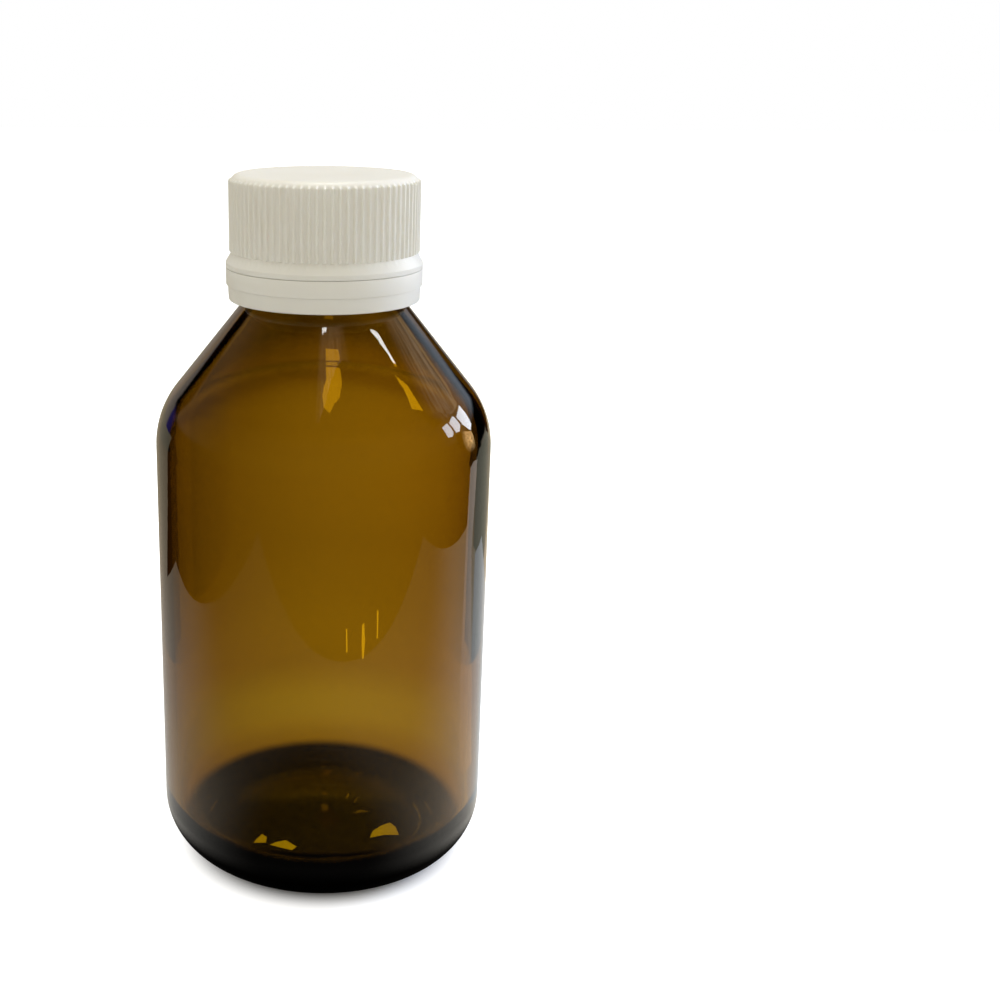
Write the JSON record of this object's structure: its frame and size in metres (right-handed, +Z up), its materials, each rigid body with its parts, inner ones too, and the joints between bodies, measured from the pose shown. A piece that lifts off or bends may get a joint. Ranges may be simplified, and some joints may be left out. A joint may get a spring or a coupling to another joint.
{
  "type": "syrup bottle",
  "caption": "Round amber glass medicine bottle with a conical shoulder and a ribbed white screw cap that carries a foam liner and leaves a tamper-evident band on the neck.",
  "frame": {"origin": "centre of the base, on the plane the bottle stands on", "axes": "+Z up along the bottle's axis of turning, through the cap"},
  "size_m": [0.0556, 0.0556, 0.1172],
  "materials": {
    "amber_glass": "clear amber soda-lime glass, glossy",
    "cream_plastic": "moulded polypropylene, satin",
    "white_foam": "expanded polyethylene sheet, matte"
  },
  "bodies": {
    "glass": {"bottle": "amber_glass"},
    "seal": {"liner": "white_foam"},
    "closure": {"cap": "cream_plastic"},
    "band": {"tamper_band": "cream_plastic"}
  },
  "joints": [
    {"name": "cap_rise", "type": "slide", "parent": "glass", "child": "seal", "axis": [0, 0, 1], "range_m": [0, 0.02226]},
    {"name": "cap_turn", "type": "hinge", "parent": "seal", "child": "closure", "pos_m": [0, 0, 0.11], "axis": [0, 0, 1], "range_deg": [0, 2520]},
    {"name": "band_spin", "type": "hinge", "parent": "glass", "child": "band", "pos_m": [0, 0, 0.0997], "axis": [0, 0, 1], "continuous": true}
  ],
  "couplings": [
    {"joint": "cap_rise", "follows": "cap_turn", "m_per_rad": 0.0005061}
  ]
}
